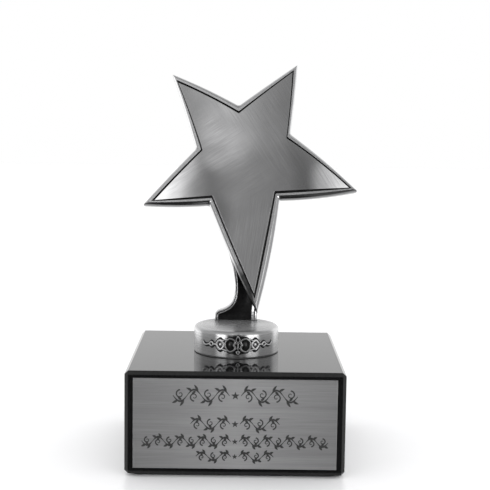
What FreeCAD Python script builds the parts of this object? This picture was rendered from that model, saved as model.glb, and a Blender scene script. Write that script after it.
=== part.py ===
import FreeCAD, Part
import math
import os

Vector = FreeCAD.Vector

# Star award on a square block. Millimetres, +Z up, the front faces -Y.
# The origin is the centre of the felt's underside, where the award stands.

# Base block with its felt and nameplate
BLOCK_SIDE = 100.0
BLOCK_HEIGHT = 47.5
BLOCK_CHAMFER = 1.6
FELT_THICKNESS = 1.0
FELT_INSET = 3.0
FELT_CORNER = 4.0
PLATE_WIDTH = 92.0
PLATE_HEIGHT = 41.4
PLATE_THICKNESS = 0.8
PLATE_ABOVE_BLOCK_BOTTOM = 3.2
PLATE_EDGE_BREAK = 0.2
TAPE_THICKNESS = 0.2
TAPE_INSET = 1.5

# Drum, a hollow casting that stands on a gasket
DRUM_RADIUS = 20.6
DRUM_HEIGHT = 12.8
DRUM_EDGE_RADIUS = 1.8
DRUM_WALL = 2.8
DRUM_ROOF = 3.0
BOSS_RADIUS = 6.0
GASKET_THICKNESS = 0.2
GASKET_INSET = 0.3
GASKET_WIDTH = 3.0

# M6 stud that clamps the drum to the block, with its nut in a counterbore
STUD_RADIUS = 3.0
STUD_END_BREAK = 0.5
STUD_IN_BOSS = 8.0
BOSS_HOLE_CLEARANCE = 0.05
BLOCK_HOLE_RADIUS = 3.4
COUNTERBORE_RADIUS = 9.0
COUNTERBORE_DEPTH = 14.0
WASHER_RADIUS = 8.5
WASHER_THICKNESS = 1.6
LOCK_WASHER_RADIUS = 5.2
LOCK_WASHER_THICKNESS = 1.6
LOCK_WASHER_SLOT = 1.0
WASHER_CLEARANCE = 0.2
NUT_ACROSS_FLATS = 10.0
NUT_THICKNESS = 5.0
STUD_PAST_NUT = 1.4

# Star. Points are (across, up) in the plane of its front, which leans back.
STAR_LEAN = math.radians(15.0)
STAR_FRONT_Y = -2.5
STAR_FRONT_Z = 67.0
STAR_THICKNESS = 8.0
# Outline of the groove round the face, clockwise from the top left tip
FACE_POINTS = [
    (-31.5, 116.9), (-0.2, 101.1), (27.0, 122.8), (24.0, 88.4), (55.9, 63.1),
    (18.4, 60.1), (8.7, 8.2), (-12.9, 57.5), (-42.5, 55.4), (-18.5, 81.5),
]
# Outermost outline of the rim, in the same order
RIM_POINTS = [
    (-34.1, 120.9), (-0.2, 105.0), (29.3, 126.7), (25.8, 90.7), (59.5, 62.0),
    (20.8, 57.2), (10.1, 0.3), (-14.3, 54.2), (-47.2, 53.7), (-21.3, 82.5),
]
# How far the middle of each edge bows out from the straight line, in the two outlines
FACE_BOWS = [0.6, 0.15, 0.25, 0.75, 0.15, 0.15, 0.3, 0.15, 0.25, -0.4]
RIM_BOWS = [0.6, 0.15, 0.25, 0.75, 0.9, 1.15, 0.7, 0.6, 0.25, -0.4]
# The rim's section: (depth behind the front, share of the way from face to rim outline)
RIM_SECTION = [(0.0, 0.44), (1.0, 0.8), (4.0, 1.0), (8.0, 0.82)]
POCKET_DEPTH = 1.6
FACE_INSET = -0.13
ADHESIVE_INSET = -0.5
ADHESIVE_THICKNESS = 0.2
DOME_RADIUS = 1500.0
DOME_CENTRE = (5.0, 76.0)
DOME_RISE = 0.9

# Stem, a flat casting that stands behind the star's lower arm
STEM_FRONT_Y = 9.5
STEM_BACK_Y = 15.5
STEM_TONGUE_THICKNESS = 4.0
STEM_RIGHT_X = 10.5
STEM_ANKLE_Z = 66.0
STEM_SHOULDER = (16.5, 114.0)
STEM_CROWN = (3.0, 125.0)
# Where the back bends from upright to the star's lean
BEND_START_Z = 78.0
BEND_END_Z = 98.0
BEND_MIDDLE = (16.25, 88.0)
RECESS_DEPTH = 1.3
RECESS_RIGHT_X = 7.45
RECESS_TOP_Z = 86.0
# Left side of the stem and of its front recess, (x, z) from the toe upwards
STEM_LEFT = [
    (-10.6, 63.0), (-10.3, 64.7), (-8.9, 66.1), (-6.2, 67.1), (-3.3, 68.9), (-1.55, 71.9),
    (-0.8, 76.8), (-1.1, 82.5), (-3.0, 91.0), (-8.7, 107.0), (-13.0, 118.0),
]
RECESS_LEFT = [
    (-8.8, 60.5), (-8.7, 63.0), (-8.0, 64.2), (-5.4, 65.4), (-2.2, 67.4), (0.2, 71.2),
    (1.0, 76.7), (0.8, 82.0), (0.1, 86.0),
]

# Screws of the figure: star to stem from behind, stem to drum from inside
SCREW_RADIUS = 1.45
SCREW_HOLE_RADIUS = 1.5
STAR_SCREWS = [(4.5, 38.0), (3.5, 51.0)]
STAR_SCREW_HEAD_RADIUS = 2.9
STAR_SCREW_HEAD_HEIGHT = 1.6
STAR_SCREW_TIP_DEPTH = 4.0
SOCKET_RADIUS = 1.1
SOCKET_DEPTH = 1.0
FOOT_SCREWS = [(-5.0, 13.1), (5.5, 13.1)]
FOOT_SCREW_HEAD_RADIUS = 2.7
FOOT_SCREW_HEAD_HEIGHT = 2.0
FOOT_SCREW_LENGTH = 4.2
HOLE_BOTTOM_GAP = 0.3

# Openwork ornament on the front of the drum, sizes along its surface
ORNAMENT_TURN = 2.4
ORNAMENT_ABOVE_DRUM_BOTTOM = 6.2
ORNAMENT_REACH = 6.0
ORNAMENT_RELIEF = 0.8
CELLS = [
    # along the drum, half width, half height, hole half width, hole half height
    (3.4, 2.8, 3.5, 2.0, 2.7),
    (8.45, 2.5, 2.8, 1.25, 1.6),
    (13.2, 1.35, 1.35, 0.75, 0.75),
]
EAR_PLACE = (6.1, 2.5)
EAR_RADIUS = 0.65
LEAF = [(0.0, 4.6), (1.15, 2.6), (0.0, 0.9), (-1.15, 2.6)]
LEAF_HOLE = [(0.0, 3.4), (0.45, 2.6), (0.0, 1.8), (-0.45, 2.6)]
DROP_PLACE = (0.0, -3.3)
DROP_RADIUS = 1.0
DROP_HOLE_RADIUS = 0.45
BRIDGE = [
    (-0.95, 1.4), (0.95, 1.4), (0.95, -1.4), (0.35, -1.4), (0.35, -2.6), (-0.35, -2.6),
    (-0.35, -1.4), (-0.95, -1.4),
]
LINK = (10.6, 12.2, 0.5)
TAIL = [(14.3, 0.35), (16.3, -0.75), (18.7, 1.0), (18.4, 0.1), (16.4, -1.45), (14.2, -0.45)]
# How far the ornament's prisms reach in and out from the drum's wall
PRISM_REACH = 3.0
# Bead in a cell: place along the drum, sphere radius, how far it sinks into the drum
BEADS = [(3.4, 2.6, 1.8), (8.45, 0.95, 0.35)]

# How far a cut runs past the surface it starts from
OVERCUT = 1.0
# Side of the blank the stem's two outlines are cut from, more than the stem's height
STEM_BLANK = 80.0

# Levels
BLOCK_BOTTOM = FELT_THICKNESS
BLOCK_TOP = BLOCK_BOTTOM + BLOCK_HEIGHT
DRUM_BOTTOM = BLOCK_TOP + GASKET_THICKNESS
DRUM_TOP = DRUM_BOTTOM + DRUM_HEIGHT
DRUM_CEILING = DRUM_TOP - DRUM_ROOF
BLOCK_FRONT_Y = -BLOCK_SIDE / 2.0
ORNAMENT_Z = DRUM_BOTTOM + ORNAMENT_ABOVE_DRUM_BOTTOM
NUT_SEAT_Z = BLOCK_BOTTOM + COUNTERBORE_DEPTH
STAR_NORMAL = Vector(0, -math.cos(STAR_LEAN), math.sin(STAR_LEAN))
STAR_UP = Vector(0, math.sin(STAR_LEAN), math.cos(STAR_LEAN))


def box(low, high):
    """A box between two opposite corners."""
    size = [high[i] - low[i] for i in range(3)]
    return Part.makeBox(size[0], size[1], size[2], Vector(*low))


def cylinder(radius, low_z, high_z, x=0.0, y=0.0):
    """An upright cylinder."""
    return Part.makeCylinder(radius, high_z - low_z, Vector(x, y, low_z))


def tube(outer_radius, inner_radius, low_z, high_z):
    """An upright ring on the award's axis."""
    return cylinder(outer_radius, low_z, high_z).cut(cylinder(inner_radius, low_z, high_z))


def polygon_face(points):
    """A flat face with straight edges through 3-D points."""
    return Part.Face(Part.makePolygon(points + [points[0]]))


def curve_edge(points):
    """One smooth edge through 3-D points."""
    curve = Part.BSplineCurve()
    curve.interpolate(points)
    return curve.toShape()


# Base


def base_felt():
    reach = BLOCK_SIDE / 2.0 - FELT_INSET
    pad = box((-reach, -reach, 0.0), (reach, reach, FELT_THICKNESS))
    upright = [e for e in pad.Edges if abs(e.Length - FELT_THICKNESS) < 0.01]
    return pad.makeFillet(FELT_CORNER, upright)


def base_block():
    half = BLOCK_SIDE / 2.0
    block = box((-half, -half, BLOCK_BOTTOM), (half, half, BLOCK_TOP))
    block = block.makeChamfer(BLOCK_CHAMFER, block.Edges)
    block = block.cut(cylinder(BLOCK_HOLE_RADIUS, BLOCK_BOTTOM, BLOCK_TOP))
    return block.cut(cylinder(COUNTERBORE_RADIUS, BLOCK_BOTTOM, NUT_SEAT_Z))


def nameplate_tape():
    reach = PLATE_WIDTH / 2.0 - TAPE_INSET
    low = BLOCK_BOTTOM + PLATE_ABOVE_BLOCK_BOTTOM + TAPE_INSET
    high = BLOCK_BOTTOM + PLATE_ABOVE_BLOCK_BOTTOM + PLATE_HEIGHT - TAPE_INSET
    return box((-reach, BLOCK_FRONT_Y - TAPE_THICKNESS, low), (reach, BLOCK_FRONT_Y, high))


def nameplate():
    reach = PLATE_WIDTH / 2.0
    low = BLOCK_BOTTOM + PLATE_ABOVE_BLOCK_BOTTOM
    back = BLOCK_FRONT_Y - TAPE_THICKNESS
    front = back - PLATE_THICKNESS
    plate = box((-reach, front, low), (reach, back, low + PLATE_HEIGHT))
    front_edges = [e for e in plate.Edges if abs(e.CenterOfMass.y - front) < 0.01]
    return plate.makeChamfer(PLATE_EDGE_BREAK, front_edges)


# Clamping hardware, from the counterbore up


def clamp_stud():
    low = NUT_SEAT_Z - WASHER_THICKNESS - LOCK_WASHER_THICKNESS - NUT_THICKNESS - STUD_PAST_NUT
    high = DRUM_BOTTOM + STUD_IN_BOSS
    stud = cylinder(STUD_RADIUS, low, high)
    ends = [e for e in stud.Edges if isinstance(e.Curve, Part.Circle)]
    return stud.makeChamfer(STUD_END_BREAK, ends)


def clamp_washer():
    hole = STUD_RADIUS + WASHER_CLEARANCE
    return tube(WASHER_RADIUS, hole, NUT_SEAT_Z - WASHER_THICKNESS, NUT_SEAT_Z)


def lock_washer():
    high = NUT_SEAT_Z - WASHER_THICKNESS
    low = high - LOCK_WASHER_THICKNESS
    ring = tube(LOCK_WASHER_RADIUS, STUD_RADIUS + WASHER_CLEARANCE, low, high)
    half = LOCK_WASHER_SLOT / 2.0
    return ring.cut(box((0.0, -half, low), (LOCK_WASHER_RADIUS + OVERCUT, half, high)))


def clamp_nut():
    high = NUT_SEAT_Z - WASHER_THICKNESS - LOCK_WASHER_THICKNESS
    low = high - NUT_THICKNESS
    corner = NUT_ACROSS_FLATS / math.sqrt(3.0)
    turns = [math.radians(60.0 * i) for i in range(6)]
    points = [Vector(corner * math.cos(t), corner * math.sin(t), low) for t in turns]
    nut = polygon_face(points).extrude(Vector(0, 0, NUT_THICKNESS))
    return nut.cut(cylinder(STUD_RADIUS + BOSS_HOLE_CLEARANCE, low, high))


# Drum


def drum_gasket():
    outer = DRUM_RADIUS - GASKET_INSET
    return tube(outer, outer - GASKET_WIDTH, BLOCK_TOP, DRUM_BOTTOM)


def drum():
    body = cylinder(DRUM_RADIUS, DRUM_BOTTOM, DRUM_TOP)
    rim = [e for e in body.Edges if abs(e.CenterOfMass.z - DRUM_TOP) < 0.01]
    body = body.makeFillet(DRUM_EDGE_RADIUS, rim)
    body = body.cut(tube(DRUM_RADIUS - DRUM_WALL, BOSS_RADIUS, DRUM_BOTTOM, DRUM_CEILING))
    stud_hole_top = DRUM_BOTTOM + STUD_IN_BOSS + HOLE_BOTTOM_GAP
    body = body.cut(cylinder(STUD_RADIUS + BOSS_HOLE_CLEARANCE, DRUM_BOTTOM, stud_hole_top))
    for x, y in FOOT_SCREWS:
        body = body.cut(cylinder(SCREW_HOLE_RADIUS, DRUM_CEILING, DRUM_TOP, x, y))
    return body


def on_drum(along, up, radius):
    """The point at a place on a cylinder round the drum's axis."""
    turn = math.radians(ORNAMENT_TURN) + along / DRUM_RADIUS
    return Vector(radius * math.sin(turn), -radius * math.cos(turn), ORNAMENT_Z + up)


def place_on_drum(shape, along, up):
    """Turns a shape made at the ornament's middle to its place along the drum."""
    shape.rotate(Vector(0, 0, 0), Vector(0, 0, 1), ORNAMENT_TURN + math.degrees(along / DRUM_RADIUS))
    shape.translate(Vector(0, 0, ORNAMENT_Z + up))
    return shape


def radial_prism(wire_points, along, up, bow=0.0):
    """A prism along the drum's radius from (across, up) points, with bowed sides."""
    start_y = -DRUM_RADIUS + PRISM_REACH
    edges = []
    for i in range(len(wire_points)):
        a = Vector(wire_points[i][0], start_y, wire_points[i][1])
        end = wire_points[(i + 1) % len(wire_points)]
        b = Vector(end[0], start_y, end[1])
        edges.append(bowed_edge(a, b, bow, Vector(0, 1, 0)))
    prism = Part.Face(Part.Wire(edges)).extrude(Vector(0, -2.0 * PRISM_REACH, 0))
    return place_on_drum(prism, along, up)


def bowed_edge(a, b, bow, normal):
    """A straight edge, or an arc whose middle stands off the straight line by bow."""
    if abs(bow) < 1e-6:
        return Part.LineSegment(a, b).toShape()
    side = (b - a).cross(normal)
    side.normalize()
    middle = (a + b) * 0.5 + side * bow
    return Part.Arc(a, middle, b).toShape()


def diamond(half_width, half_height):
    """Corners of a diamond, (across, up)."""
    return [(half_width, 0.0), (0.0, -half_height), (-half_width, 0.0), (0.0, half_height)]


def cell_ring(along, half_width, half_height, hole_width, hole_height):
    """A diamond with rounded sides and a hole of the same form."""
    rim = radial_prism(diamond(half_width, half_height), along, 0.0, 0.32 * half_width)
    hole = radial_prism(diamond(hole_width, hole_height), along, 0.0, 0.32 * hole_width)
    return rim, hole


def filigree_band():
    solids = []
    holes = []
    for side in (-1.0, 1.0):
        for along, half_width, half_height, hole_width, hole_height in CELLS:
            rim, hole = cell_ring(side * along, half_width, half_height, hole_width, hole_height)
            solids.append(rim)
            holes.append(hole)
        for up in (EAR_PLACE[1], -EAR_PLACE[1]):
            solids.append(radial_prism(diamond(EAR_RADIUS, EAR_RADIUS), side * EAR_PLACE[0], up, 0.15))
        start, end, half = LINK
        middle = (start + end) / 2.0
        reach = (end - start) / 2.0
        bar = [(-reach, -half), (-reach, half), (reach, half), (reach, -half)]
        solids.append(radial_prism(bar, side * middle, 0.0))
        tail_middle = TAIL[1][0]
        tail = [(side * (along - tail_middle), up) for along, up in TAIL]
        solids.append(radial_prism(tail, side * tail_middle, 0.0))
    solids.append(radial_prism(BRIDGE, 0.0, 0.0))
    solids.append(radial_prism(LEAF, 0.0, 0.0))
    holes.append(radial_prism(LEAF_HOLE, 0.0, 0.0))
    solids.append(radial_prism(diamond(DROP_RADIUS, DROP_RADIUS), 0.0, DROP_PLACE[1], 0.25))
    holes.append(radial_prism(diamond(DROP_HOLE_RADIUS, DROP_HOLE_RADIUS), 0.0, DROP_PLACE[1], 0.1))
    band = solids[0].fuse(solids[1:]).cut(Part.makeCompound(holes))
    low = ORNAMENT_Z - ORNAMENT_REACH
    high = ORNAMENT_Z + ORNAMENT_REACH
    skin = tube(DRUM_RADIUS + ORNAMENT_RELIEF, DRUM_RADIUS, low, high)
    return band.common(skin)


def filigree_beads():
    drum_core = cylinder(DRUM_RADIUS, DRUM_BOTTOM, DRUM_TOP)
    beads = []
    for side in (-1.0, 1.0):
        for along, radius, sink in BEADS:
            ball = Part.makeSphere(radius, on_drum(side * along, 0.0, DRUM_RADIUS - sink))
            beads.append(ball.cut(drum_core))
    return Part.makeCompound(beads)


# Star


def star_point(across, up, depth):
    """A point of the star, from its place in the front plane and its depth behind it."""
    origin = Vector(0, STAR_FRONT_Y, STAR_FRONT_Z)
    return origin + Vector(across, 0, 0) + STAR_UP * up - STAR_NORMAL * depth


def star_outline(share, depth):
    """The star's outline, share of the way from the face outline to the rim outline."""
    points = []
    for (face_x, face_up), (rim_x, rim_up) in zip(FACE_POINTS, RIM_POINTS):
        across = face_x + share * (rim_x - face_x)
        up = face_up + share * (rim_up - face_up)
        points.append(star_point(across, up, depth))
    edges = []
    for i, (face_bow, rim_bow) in enumerate(zip(FACE_BOWS, RIM_BOWS)):
        bow = face_bow + share * (rim_bow - face_bow)
        edges.append(bowed_edge(points[i], points[(i + 1) % len(points)], -bow, STAR_NORMAL))
    return Part.Wire(edges)


def star_prism(share, front_depth, back_depth):
    """A prism of one star outline between two depths."""
    face = Part.Face(star_outline(share, back_depth))
    return face.extrude(STAR_NORMAL * (back_depth - front_depth))


def star_cylinder(across, up, radius, front_depth, back_depth):
    """A cylinder square to the star's front, between two depths."""
    start = star_point(across, up, back_depth)
    return Part.makeCylinder(radius, back_depth - front_depth, start, STAR_NORMAL)


def star_body():
    sections = [star_outline(share, depth) for depth, share in RIM_SECTION]
    body = Part.makeLoft(sections, True, True)
    body = body.cut(star_prism(0.0, -OVERCUT, POCKET_DEPTH))
    for across, up in STAR_SCREWS:
        tip = STAR_SCREW_TIP_DEPTH - HOLE_BOTTOM_GAP
        back = STAR_THICKNESS + OVERCUT
        body = body.cut(star_cylinder(across, up, SCREW_HOLE_RADIUS, tip, back))
    return body


def star_face_adhesive():
    return star_prism(ADHESIVE_INSET, POCKET_DEPTH - ADHESIVE_THICKNESS, POCKET_DEPTH)


def star_face_plate():
    back = POCKET_DEPTH - ADHESIVE_THICKNESS
    plate = star_prism(FACE_INSET, -DOME_RISE - OVERCUT, back)
    dome_centre = star_point(DOME_CENTRE[0], DOME_CENTRE[1], DOME_RADIUS - DOME_RISE)
    return plate.common(Part.makeSphere(DOME_RADIUS, dome_centre))


# Stem


def star_back_y(z):
    """Where the plane of the star's back lies at a height."""
    return STAR_FRONT_Y + STAR_THICKNESS / math.cos(STAR_LEAN) + (z - STAR_FRONT_Z) * math.tan(STAR_LEAN)


def stem_front_view():
    """The stem's outline seen from the front, drawn in the plane y = 0."""
    left = [Vector(x, 0, z) for x, z in STEM_LEFT]
    toe = Vector(left[0].x, 0, DRUM_TOP)
    heel = Vector(STEM_RIGHT_X, 0, DRUM_TOP)
    ankle = Vector(STEM_RIGHT_X, 0, STEM_ANKLE_Z)
    shoulder = Vector(STEM_SHOULDER[0], 0, STEM_SHOULDER[1])
    crown = Vector(STEM_CROWN[0], 0, STEM_CROWN[1])
    edges = [
        curve_edge(left),
        Part.Arc(left[-1], crown, shoulder).toShape(),
        Part.LineSegment(shoulder, ankle).toShape(),
        Part.LineSegment(ankle, heel).toShape(),
        Part.LineSegment(heel, toe).toShape(),
        Part.LineSegment(toe, left[0]).toShape(),
    ]
    return Part.Face(Part.Wire(edges))


def stem_side_view():
    """The stem's outline seen from the side, drawn in the plane x = 0."""
    top_z = STEM_CROWN[1] + OVERCUT
    bend_z = STAR_FRONT_Z + (STEM_FRONT_Y - star_back_y(STAR_FRONT_Z)) / math.tan(STAR_LEAN)
    tongue = STEM_TONGUE_THICKNESS / math.cos(STAR_LEAN)
    low_bend = Vector(0, STEM_BACK_Y, BEND_START_Z)
    high_bend = Vector(0, star_back_y(BEND_END_Z) + tongue, BEND_END_Z)
    middle_bend = Vector(0, BEND_MIDDLE[0], BEND_MIDDLE[1])
    back_top = Vector(0, star_back_y(top_z) + tongue, top_z)
    front = [
        Vector(0, STEM_BACK_Y, DRUM_TOP),
        Vector(0, STEM_FRONT_Y, DRUM_TOP),
        Vector(0, STEM_FRONT_Y, bend_z),
        Vector(0, star_back_y(top_z), top_z),
        back_top,
        high_bend,
    ]
    edges = [Part.LineSegment(a, b).toShape() for a, b in zip(front, front[1:])]
    edges.append(Part.Arc(high_bend, middle_bend, low_bend).toShape())
    edges.append(Part.LineSegment(low_bend, front[0]).toShape())
    return Part.Face(Part.Wire(edges))


def stem_recess():
    """The sunk panel in the stem's front, as a prism to cut away."""
    start_y = STEM_FRONT_Y - OVERCUT
    left = [Vector(x, start_y, z) for x, z in RECESS_LEFT]
    top_right = Vector(RECESS_RIGHT_X, start_y, RECESS_TOP_Z)
    low_right = Vector(RECESS_RIGHT_X, start_y, left[0].z)
    edges = [
        curve_edge(left),
        Part.LineSegment(left[-1], top_right).toShape(),
        Part.LineSegment(top_right, low_right).toShape(),
        Part.LineSegment(low_right, left[0]).toShape(),
    ]
    return Part.Face(Part.Wire(edges)).extrude(Vector(0, OVERCUT + RECESS_DEPTH, 0))


def stem():
    front_prism = stem_front_view().extrude(Vector(0, STEM_BLANK, 0))
    side_prism = stem_side_view().extrude(Vector(STEM_BLANK, 0, 0))
    side_prism.translate(Vector(-STEM_BLANK / 2.0, 0, 0))
    body = front_prism.common(side_prism)
    body = body.cut(stem_recess())
    for x, y in FOOT_SCREWS:
        tip = DRUM_TOP + FOOT_SCREW_LENGTH + HOLE_BOTTOM_GAP
        body = body.cut(cylinder(SCREW_HOLE_RADIUS, DRUM_TOP - OVERCUT, tip, x, y))
    for across, up in STAR_SCREWS:
        body = body.cut(star_screw(across, up, SCREW_HOLE_RADIUS - SCREW_RADIUS, False))
    return body


# Screws


def star_screw(across, up, clearance, with_socket):
    """A countersunk screw whose head is flush with the stem's back."""
    back = STAR_THICKNESS + STEM_TONGUE_THICKNESS
    neck = back - STAR_SCREW_HEAD_HEIGHT
    head = Part.makeCone(
        STAR_SCREW_HEAD_RADIUS + clearance, SCREW_RADIUS + clearance, STAR_SCREW_HEAD_HEIGHT,
        star_point(across, up, back), STAR_NORMAL,
    )
    shank = star_cylinder(across, up, SCREW_RADIUS + clearance, STAR_SCREW_TIP_DEPTH, neck)
    screw = head.fuse(shank)
    if with_socket:
        socket = star_cylinder(across, up, SOCKET_RADIUS, back - SOCKET_DEPTH, back)
        screw = screw.cut(socket)
    return screw.removeSplitter()


def star_screws():
    return Part.makeCompound([star_screw(across, up, 0.0, True) for across, up in STAR_SCREWS])


def foot_screws():
    screws = []
    for x, y in FOOT_SCREWS:
        head = cylinder(FOOT_SCREW_HEAD_RADIUS, DRUM_CEILING - FOOT_SCREW_HEAD_HEIGHT, DRUM_CEILING, x, y)
        shank = cylinder(SCREW_RADIUS, DRUM_CEILING, DRUM_TOP + FOOT_SCREW_LENGTH, x, y)
        screws.append(head.fuse(shank))
    return Part.makeCompound(screws)


PARTS = [
    base_felt, base_block, nameplate_tape, nameplate,
    clamp_stud, clamp_washer, lock_washer, clamp_nut,
    drum_gasket, drum, filigree_band, filigree_beads,
    star_body, star_face_adhesive, star_face_plate,
    stem, star_screws, foot_screws,
]

os.makedirs("parts", exist_ok=True)
for make_part in PARTS:
    shape = make_part()
    shape.exportStep("parts/" + make_part.__name__ + ".step")
    state = "valid" if shape.isValid() else "INVALID"
    print(make_part.__name__, state, len(shape.Solids), round(shape.Volume, 1))
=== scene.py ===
import math

import bmesh
import bpy
from mathutils import Matrix, Vector


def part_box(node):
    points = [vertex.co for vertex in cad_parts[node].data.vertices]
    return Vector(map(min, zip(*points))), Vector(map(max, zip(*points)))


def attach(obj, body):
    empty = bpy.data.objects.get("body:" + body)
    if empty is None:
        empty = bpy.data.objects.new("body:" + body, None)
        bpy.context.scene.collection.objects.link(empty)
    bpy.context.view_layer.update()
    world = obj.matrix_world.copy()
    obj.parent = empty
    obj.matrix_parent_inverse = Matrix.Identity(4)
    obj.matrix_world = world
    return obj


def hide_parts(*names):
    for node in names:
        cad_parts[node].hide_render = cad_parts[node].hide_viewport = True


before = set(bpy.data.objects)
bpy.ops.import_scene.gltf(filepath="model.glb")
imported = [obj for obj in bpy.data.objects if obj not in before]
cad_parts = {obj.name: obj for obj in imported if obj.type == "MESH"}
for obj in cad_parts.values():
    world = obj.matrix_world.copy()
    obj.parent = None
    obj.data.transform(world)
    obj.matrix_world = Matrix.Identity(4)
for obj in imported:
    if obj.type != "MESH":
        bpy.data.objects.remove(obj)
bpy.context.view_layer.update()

MM = 0.001

# Camera, in metres and degrees, with its lens in mm
CAMERA_PLACE = Vector((0.0006, -0.5604, 0.1639))
CAMERA_PITCH = 6.464
CAMERA_YAW = -0.314
CAMERA_ROLL = 0.781
CAMERA_LENS = 85.25

# The star's outline, (across, up) in mm in the plane of its front, from the top left tip clockwise
FACE_POINTS = [
    (-31.5, 116.9), (-0.2, 101.1), (27.0, 122.8), (24.0, 88.4), (55.9, 63.1),
    (18.4, 60.1), (8.7, 8.2), (-12.9, 57.5), (-42.5, 55.4), (-18.5, 81.5),
]
RIM_POINTS = [
    (-34.1, 120.9), (-0.2, 105.0), (29.3, 126.7), (25.8, 90.7), (59.5, 62.0),
    (20.8, 57.2), (10.1, 0.3), (-14.3, 54.2), (-47.2, 53.7), (-21.3, 82.5),
]
FACE_BOWS = [0.6, 0.15, 0.25, 0.75, 0.15, 0.15, 0.3, 0.15, 0.25, -0.4]
RIM_BOWS = [0.6, 0.15, 0.25, 0.75, 0.9, 1.15, 0.7, 0.6, 0.25, -0.4]
STAR_LEAN = math.radians(15.0)
STAR_THICKNESS = 8.0
STAR_CENTRE = (5.0, 76.0)
EDGE_STEPS = 14
CORNER_STEPS = 5
TIP_ROUNDING = 0.5
LONGEST_CUT = 0.45


# What the polished surfaces reflect: (degrees to the right of the front, strength)
LOW_LIGHT = [
    (-180, 1.05), (-165, 1.05), (-145, 2.1), (-118, 2.1), (-104, 0.6), (-58, 0.5), (-49, 5.0), (-30, 5.0),
    (-24, 0.02), (24, 0.02), (32, 5.0), (58, 5.0), (66, 0.6), (114, 0.6), (125, 1.8), (150, 1.8),
    (165, 1.05), (180, 1.05),
]
LEVEL_LIGHT = [
    (-180, 1.05), (-165, 1.05), (-145, 1.5), (-118, 1.5), (-104, 0.8), (-58, 0.7), (-49, 2.3), (-30, 2.3),
    (-24, 0.02), (24, 0.02), (30, 2.3), (56, 2.3), (64, 0.7), (112, 0.75), (125, 1.5), (150, 1.5),
    (165, 1.05), (180, 1.05),
]
MIDDLE_LIGHT = [
    (-180, 1.05), (-130, 1.1), (-112, 0.6), (-20, 0.6), (-14, 2.6), (-8.8, 2.9), (-7.8, 1.3),
    (-6.4, 0.6), (-5.2, 0.22), (-3.8, 0.1), (-2.8, 0.3), (-1.5, 0.6), (1.0, 0.48), (4.6, 0.5), (6.2, 0.2),
    (7.8, 0.03), (9.2, 0.05), (9.9, 0.8), (10.3, 0.85), (10.8, 0.5), (11.6, 2.5), (15, 2.4), (20, 0.6),
    (112, 0.6), (125, 1.6), (150, 1.6), (165, 1.05), (180, 1.05),
]
HIGH_LIGHT = [
    (-180, 1.05), (-130, 1.0), (-112, 0.6), (-24, 0.7), (-9.0, 0.9), (-7.6, 0.4),
    (-6.6, 0.4), (-5.0, 1.1), (-2.8, 1.45), (-0.8, 1.05), (1.2, 0.55), (4.0, 0.52), (6.5, 0.34), (12, 0.5),
    (24, 0.7), (72, 0.5), (112, 0.6), (130, 1.0), (180, 1.05),
]
FLOOR_LIGHT = [(-180, 0.5), (-125, 0.5), (-95, 0.1), (95, 0.1), (125, 0.5), (180, 0.5)]
NADIR_LIGHT = 0.1
CEILING_LIGHT = [(-180, 0.5), (180, 0.5)]
# Each layer, with the degrees up between which it takes over from the layer below
LIGHT_LAYERS = [
    (FLOOR_LIGHT, -75.0, -60.0), (LOW_LIGHT, -32.0, -18.0), (LEVEL_LIGHT, -5.0, 1.0),
    (MIDDLE_LIGHT, 8.0, 18.0), (HIGH_LIGHT, 26.5, 29.5), (CEILING_LIGHT, 48.0, 62.0),
]
# What the matt surfaces receive, from every side
LAMP_LIGHT = 1.36

# Helpers


def mesh_object(name, verts, faces, materials, face_materials=None, smooth=True):
    """A mesh object from points in mm, welded and with outward normals."""
    mesh = bpy.data.meshes.new(name)
    mesh.from_pydata([tuple(c * MM for c in v) for v in verts], [], faces)
    for material in materials:
        mesh.materials.append(material)
    if face_materials:
        for polygon, index in zip(mesh.polygons, face_materials):
            polygon.material_index = index
    bm = bmesh.new()
    bm.from_mesh(mesh)
    bmesh.ops.remove_doubles(bm, verts=bm.verts, dist=1e-7)
    bmesh.ops.recalc_face_normals(bm, faces=bm.faces)
    bm.to_mesh(mesh)
    bm.free()
    for polygon in mesh.polygons:
        polygon.use_smooth = smooth
    piece = bpy.data.objects.new(name, mesh)
    bpy.context.scene.collection.objects.link(piece)
    return piece


def ring_faces(start_a, start_b, count, closed=True):
    """Quads between two rings of points with the same count."""
    last = count if closed else count - 1
    return [
        (start_a + i, start_a + (i + 1) % count, start_b + (i + 1) % count, start_b + i)
        for i in range(last)
    ]


def place_at(piece, node):
    """Shifts a piece so that the middle of its box is at that of a CAD node's, and gives the shift."""
    low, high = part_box(node)
    own = [Vector(v.co) for v in piece.data.vertices]
    own_low = Vector([min(p[i] for p in own) for i in range(3)])
    own_high = Vector([max(p[i] for p in own) for i in range(3)])
    shift = (low + high) * 0.5 - (own_low + own_high) * 0.5
    piece.data.transform(Matrix.Translation(shift))
    return shift


# Materials


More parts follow.
